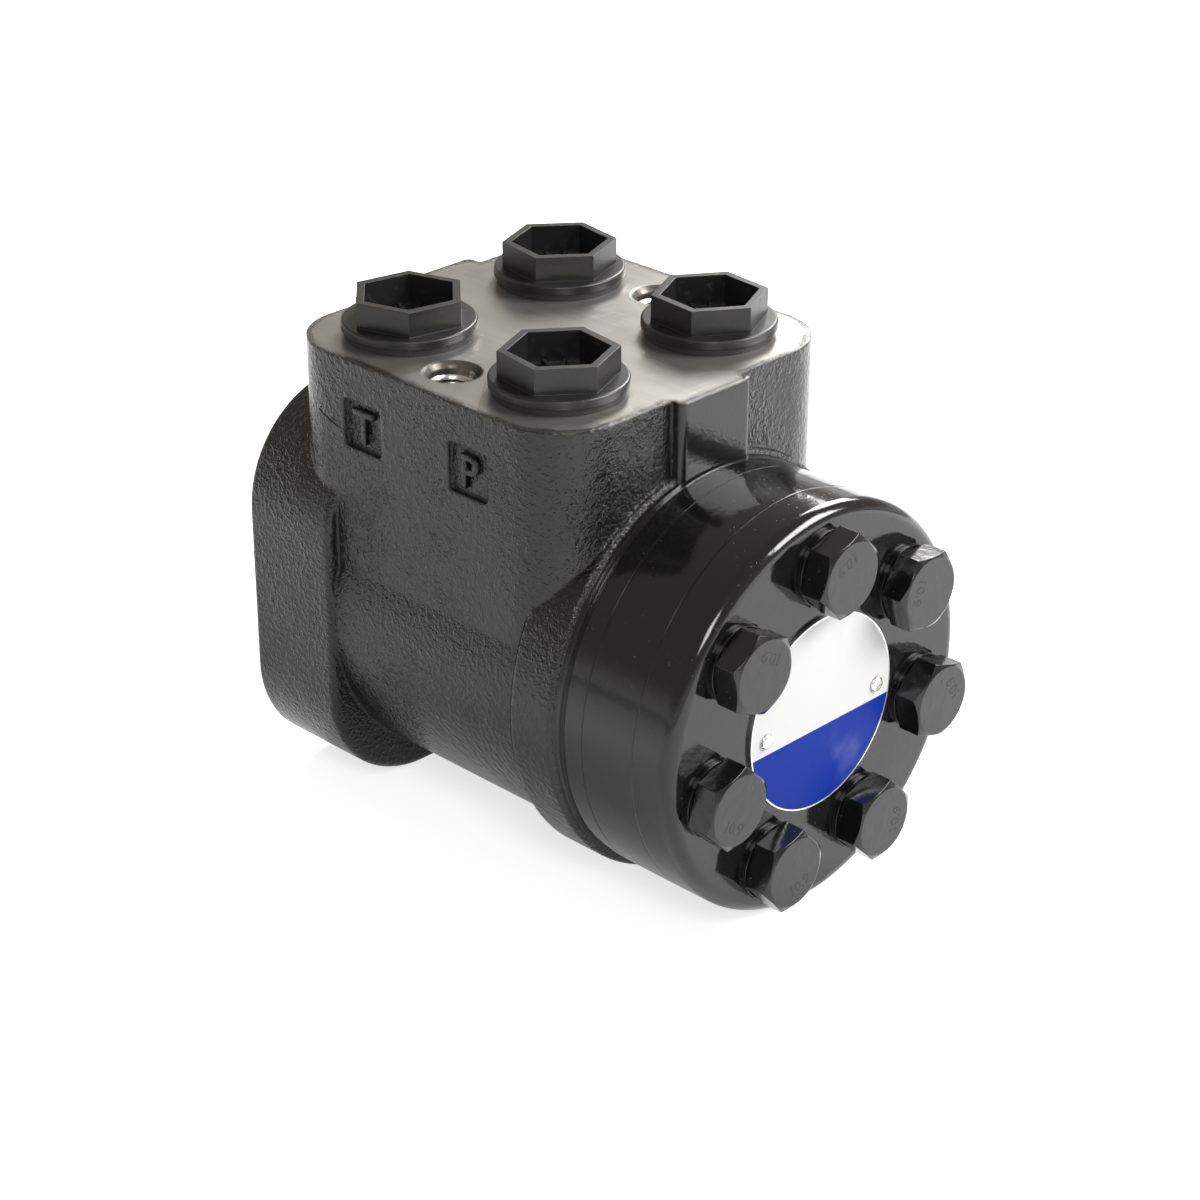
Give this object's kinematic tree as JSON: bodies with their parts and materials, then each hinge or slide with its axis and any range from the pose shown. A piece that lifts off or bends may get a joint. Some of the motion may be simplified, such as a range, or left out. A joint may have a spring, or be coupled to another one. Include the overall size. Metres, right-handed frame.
{
  "type": "orbital steering unit",
  "caption": "Hydraulic orbital steering unit: iron body with flange and port block, rotary spool valve, gerotor metering set under a bolted cover, screw plugs in its ports.",
  "frame": {"origin": "Centre of the steering-column face, on the main axis.", "axes": "+X runs along the main axis to the end cover, +Z points out of the port face, -Y is the side with the pump and tank ports."},
  "size_m": [0.134, 0.094, 0.1187],
  "materials": {
    "black_paint": "gloss black paint over sand-cast iron; ports face milled bare",
    "black_gloss": "gloss black paint over turned steel",
    "black_plastic": "moulded, semi-matt",
    "black_rubber": "smooth nitrile",
    "ground_steel": "ground",
    "bearing_steel": "hardened and polished",
    "spring_steel": "blued strip",
    "plate_face": "anodised white over blue, bare of text",
    "bright_screw": "polished dome"
  },
  "bodies": {
    "housing": {"housing": "black_paint", "dust_seal": "black_rubber", "shaft_seal": "black_rubber", "bearing_outer_race": "bearing_steel", "distributor_plate": "black_gloss", "gear_ring": "black_gloss", "end_cover": "black_gloss", "body_seal_ring": "black_rubber", "plate_seal_ring": "black_rubber", "cover_seal_ring": "black_rubber", "cover_bolts": "black_gloss", "limit_bolt": "black_gloss", "bolt_washers": "black_gloss", "name_plate": "plate_face", "drive_screws": "bright_screw"},
    "sleeve": {"sleeve": "ground_steel", "cross_pin": "bearing_steel", "bearing_inner_race": "bearing_steel", "spring_ring": "ground_steel", "curved_leaf_springs": "spring_steel", "flat_leaf_springs": "spring_steel"},
    "spool": {"spool": "ground_steel"},
    "needle_cage": {"bearing_cage": "bearing_steel", "bearing_needles": "bearing_steel"},
    "orbit": {"spacer": "ground_steel"},
    "rotor": {"gear_rotor": "ground_steel"},
    "cardan": {"cardan_shaft": "ground_steel"},
    "check_ball": {"check_ball": "bearing_steel"},
    "plug_p": {"port_plug_p": "black_plastic", "plug_seal_p": "black_rubber"},
    "plug_t": {"port_plug_t": "black_plastic", "plug_seal_t": "black_rubber"},
    "plug_l": {"port_plug_l": "black_plastic", "plug_seal_l": "black_rubber"},
    "plug_r": {"port_plug_r": "black_plastic", "plug_seal_r": "black_rubber"}
  },
  "joints": [
    {"name": "steering_turn", "type": "hinge", "parent": "housing", "child": "sleeve", "pos_m": [0, 0, 0], "axis": [1, 0, 0], "continuous": true},
    {"name": "spool_swing", "type": "hinge", "parent": "sleeve", "child": "spool", "pos_m": [0.0245, 0, 0], "axis": [1, 0, 0], "range_deg": [-8, 8], "stiffness_Nm_per_rad": 6, "deforming": ["curved_leaf_springs", "flat_leaf_springs"]},
    {"name": "needle_roll", "type": "hinge", "parent": "housing", "child": "needle_cage", "pos_m": [0.0175, 0, 0], "axis": [1, 0, 0], "continuous": true},
    {"name": "rotor_orbit", "type": "hinge", "parent": "housing", "child": "orbit", "pos_m": [0.1095, 0, 0], "axis": [1, 0, 0], "continuous": true},
    {"name": "rotor_spin", "type": "hinge", "parent": "orbit", "child": "rotor", "pos_m": [0.1095, 0, 0.0032], "axis": [1, 0, 0], "continuous": true},
    {"name": "cardan_spin", "type": "hinge", "parent": "orbit", "child": "cardan", "pos_m": [0.036, 0, 0], "axis": [0.9991, 0, 0.0435], "continuous": true},
    {"name": "ball_lift", "type": "slide", "parent": "housing", "child": "check_ball", "axis": [1, 0, 0], "range_m": [0, 0.0019]},
    {"name": "plug_p_lift", "type": "slide", "parent": "housing", "child": "plug_p", "axis": [0, 0, 1], "range_m": [0, 0.03]},
    {"name": "plug_t_lift", "type": "slide", "parent": "housing", "child": "plug_t", "axis": [0, 0, 1], "range_m": [0, 0.03]},
    {"name": "plug_l_lift", "type": "slide", "parent": "housing", "child": "plug_l", "axis": [0, 0, 1], "range_m": [0, 0.03]},
    {"name": "plug_r_lift", "type": "slide", "parent": "housing", "child": "plug_r", "axis": [0, 0, 1], "range_m": [0, 0.03]}
  ],
  "couplings": [
    {"joint": "needle_roll", "follows": "steering_turn", "ratio": 0.5},
    {"joint": "rotor_orbit", "follows": "steering_turn", "ratio": -6},
    {"joint": "rotor_spin", "follows": "steering_turn", "ratio": 7},
    {"joint": "cardan_spin", "follows": "steering_turn", "ratio": 7}
  ]
}
